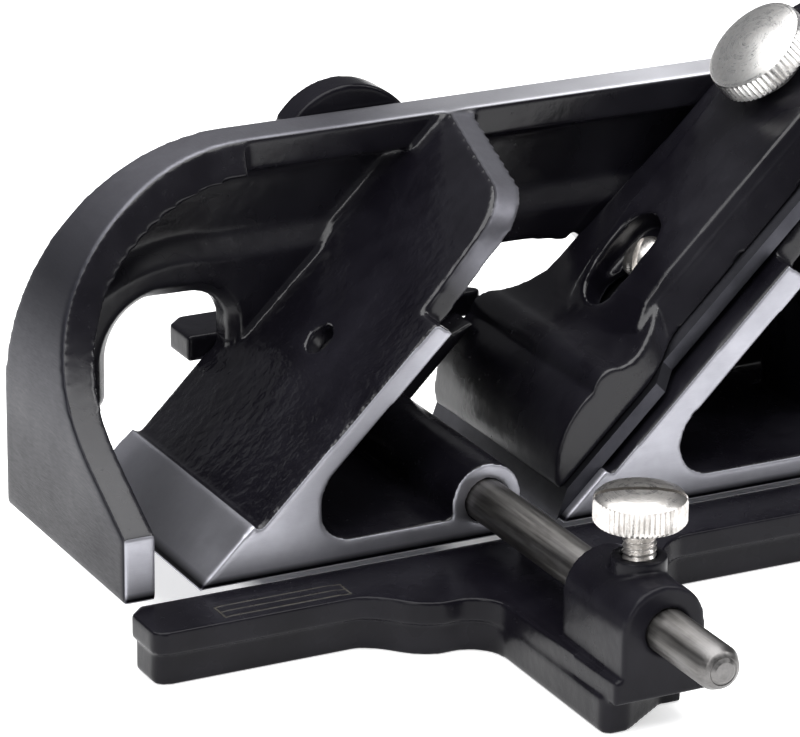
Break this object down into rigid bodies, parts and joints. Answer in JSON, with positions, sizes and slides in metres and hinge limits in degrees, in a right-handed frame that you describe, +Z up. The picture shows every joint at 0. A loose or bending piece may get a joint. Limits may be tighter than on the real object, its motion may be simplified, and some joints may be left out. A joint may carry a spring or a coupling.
{
  "type": "rebate plane",
  "caption": "Cast duplex fillister and rebate plane with two cutter seats, sliding side fence on a rod, depth stop, nicker spur and a lever-adjusted iron.",
  "frame": {"origin": "on the sole, midway across the body, straight under the axis of the fence rod", "axes": "+X from toe to heel along the sole, +Y from the fence side to the depth stop side, +Z up, square to the sole"},
  "size_m": [0.213, 0.1125, 0.1076],
  "materials": {
    "enamelled_casting": "glossy black enamel, bare ground metal on the machined faces",
    "cutter_steel": "ground tool steel",
    "cap_enamel": "glossy black enamel with a ground lip",
    "plated_screws": "bright nickel plate, knurled rims",
    "fence_enamel": "glossy black enamel",
    "rod_steel": "dark oxidised steel with a bright end",
    "lever_enamel": "glossy black enamel",
    "stop_enamel": "glossy black enamel",
    "spur_steel": "ground tool steel"
  },
  "bodies": {
    "plane": {"plane_body": "enamelled_casting", "fence_rod": "rod_steel", "adjusting_lever_pivot": "plated_screws"},
    "iron": {"cutter": "cutter_steel"},
    "cap": {"lever_cap": "cap_enamel"},
    "cap_knob": {"lever_cap_knob": "plated_screws"},
    "cap_screw": {"lever_cap_screw": "plated_screws"},
    "lever": {"adjusting_lever": "lever_enamel"},
    "fence_group": {"fence": "fence_enamel"},
    "fence_screw": {"fence_thumbscrew": "plated_screws"},
    "stop": {"depth_stop": "stop_enamel"},
    "stop_screw": {"depth_stop_screw": "plated_screws"},
    "nicker": {"spur": "spur_steel"},
    "nicker_screw": {"spur_screw": "plated_screws"}
  },
  "joints": [
    {"name": "fence_slide", "type": "slide", "parent": "plane", "child": "fence_group", "axis": [0, 1, 0], "range_m": [-0.009, 0.0268]},
    {"name": "fence_screw_turn", "type": "hinge", "parent": "fence_group", "child": "fence_screw", "pos_m": [0, -0.0604, 0.014], "axis": [0, 0, 1], "continuous": true},
    {"name": "cutter_slide", "type": "slide", "parent": "plane", "child": "iron", "axis": [0.7193, 0, 0.6947], "range_m": [-0.0003, 0.001]},
    {"name": "lever_turn", "type": "hinge", "parent": "plane", "child": "lever", "pos_m": [0.06256, 0, 0.03803], "axis": [0, 1, 0], "range_deg": [-3, 8]},
    {"name": "cap_slide", "type": "slide", "parent": "plane", "child": "cap", "axis": [0.7193, 0, 0.6947], "range_m": [0, 0.006]},
    {"name": "cap_knob_turn", "type": "hinge", "parent": "cap", "child": "cap_knob", "pos_m": [0.05399, 0, 0.05339], "axis": [-0.6947, 0, 0.7193], "continuous": true},
    {"name": "cap_screw_turn", "type": "hinge", "parent": "plane", "child": "cap_screw", "pos_m": [0.03619, 0, 0.02647], "axis": [-0.6947, 0, 0.7193], "continuous": true},
    {"name": "stop_slide", "type": "slide", "parent": "plane", "child": "stop", "axis": [0, 0, 1], "range_m": [-0.0155, 0.0035]},
    {"name": "stop_screw_turn", "type": "hinge", "parent": "plane", "child": "stop_screw", "pos_m": [-0.001, 0.022, 0.03], "axis": [0, 1, 0], "continuous": true},
    {"name": "spur_turn", "type": "hinge", "parent": "plane", "child": "nicker", "pos_m": [-0.0122, 0.0185, 0.006], "axis": [0, 1, 0], "continuous": true},
    {"name": "spur_screw_turn", "type": "hinge", "parent": "plane", "child": "nicker_screw", "pos_m": [-0.0122, 0.0185, 0.006], "axis": [0, 1, 0], "continuous": true}
  ],
  "couplings": [
    {"joint": "lever_turn", "follows": "cutter_slide", "rad_per_m": 117.65}
  ]
}
